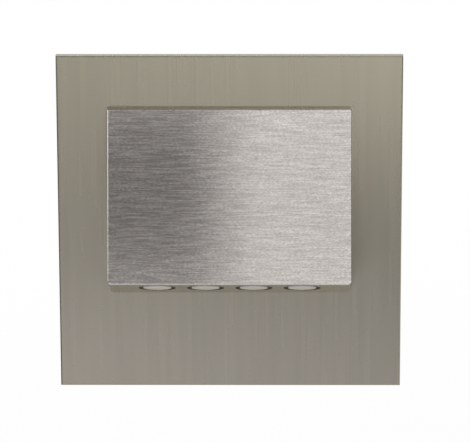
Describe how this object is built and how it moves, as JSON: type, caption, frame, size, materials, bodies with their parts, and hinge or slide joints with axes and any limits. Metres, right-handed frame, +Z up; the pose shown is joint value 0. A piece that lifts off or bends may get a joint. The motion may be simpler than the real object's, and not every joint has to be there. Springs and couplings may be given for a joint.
{
  "type": "recessed wall light",
  "caption": "Square brushed-metal recessed wall light: a wedge hood with lenses in its sloping underside, and a round housing with sprung clips behind the plate.",
  "frame": {"origin": "on the wall plane, which is the back of the wall gasket, behind the middle of the plate", "axes": "+X to the right, +Y into the wall along the housing's axis, +Z up"},
  "size_m": [0.08, 0.0589, 0.08],
  "materials": {
    "plate_nickel": "satin nickel, fine upright brushing",
    "hood_steel": "stainless, brushed across",
    "gasket_rubber": "matt black",
    "pad_rubber": "matt dark grey",
    "zinc_steel": "bright zinc",
    "spreader_aluminium": "mill finish",
    "light_board_white": "white solder mask",
    "led_phosphor": "yellow phosphor under clear silicone",
    "lens_frosted": "frosted",
    "optic_black": "matt black",
    "lead_red_skin": "red insulation",
    "lead_black_skin": "black insulation",
    "housing_plastic": "fine spark texture",
    "driver_board_green": "green solder mask",
    "component_black": "moulded",
    "capacitor_can": "bare can",
    "film_box": "cast box",
    "terminal_plastic": "moulded green",
    "gland_nylon": "black nylon",
    "clip_steel": "zinc-plated sheet",
    "spring_steel": "bright spring wire"
  },
  "bodies": {
    "fixture": {"face_plate": "plate_nickel", "hood": "hood_steel", "wall_gasket": "gasket_rubber", "housing_seal": "gasket_rubber", "cover_seal": "gasket_rubber", "lead_grommet": "gasket_rubber", "gland_seal": "gasket_rubber", "lens_seal_1": "gasket_rubber", "lens_seal_2": "gasket_rubber", "lens_seal_3": "gasket_rubber", "lens_seal_4": "gasket_rubber", "plate_studs": "zinc_steel", "stud_nuts": "zinc_steel", "hood_screws": "zinc_steel", "carrier_screws": "zinc_steel", "optic_screws": "zinc_steel", "driver_screws": "zinc_steel", "cover_screws": "zinc_steel", "bracket_screws": "zinc_steel", "terminal_screws": "zinc_steel", "led_carrier": "spreader_aluminium", "led_board": "light_board_white", "led_1": "led_phosphor", "led_2": "led_phosphor", "led_3": "led_phosphor", "led_4": "led_phosphor", "lens_1": "lens_frosted", "lens_2": "lens_frosted", "lens_3": "lens_frosted", "lens_4": "lens_frosted", "optic_bar": "optic_black", "lead_red": "lead_red_skin", "lead_black": "lead_black_skin", "housing": "housing_plastic", "rear_cover": "housing_plastic", "driver_board": "driver_board_green", "driver_inductor": "component_black", "driver_chip": "component_black", "driver_capacitor": "capacitor_can", "input_capacitor": "film_box", "terminal_block": "terminal_plastic", "gland_body": "gland_nylon", "gland_locknut": "gland_nylon", "gland_nut": "gland_nylon", "clip_bracket_left": "clip_steel", "clip_pin_left": "clip_steel", "clip_bracket_right": "clip_steel", "clip_pin_right": "clip_steel", "clip_spring_left": "spring_steel", "clip_spring_right": "spring_steel"},
    "clip_left": {"clip_arm_left": "clip_steel", "clip_pad_left": "pad_rubber"},
    "clip_right": {"clip_arm_right": "clip_steel", "clip_pad_right": "pad_rubber"}
  },
  "joints": [
    {"name": "clip_left_swing", "type": "hinge", "parent": "fixture", "child": "clip_left", "pos_m": [-0.0246, 0.013, 0], "axis": [0, 0, -1], "range_deg": [0, 110], "stiffness_Nm_per_rad": 0.04, "springref_deg": -34.38, "deforming": ["clip_spring_left"]},
    {"name": "clip_right_swing", "type": "hinge", "parent": "fixture", "child": "clip_right", "pos_m": [0.0246, 0.013, 0], "axis": [0, 0, 1], "range_deg": [0, 110], "stiffness_Nm_per_rad": 0.04, "springref_deg": -34.38, "deforming": ["clip_spring_right"]}
  ]
}
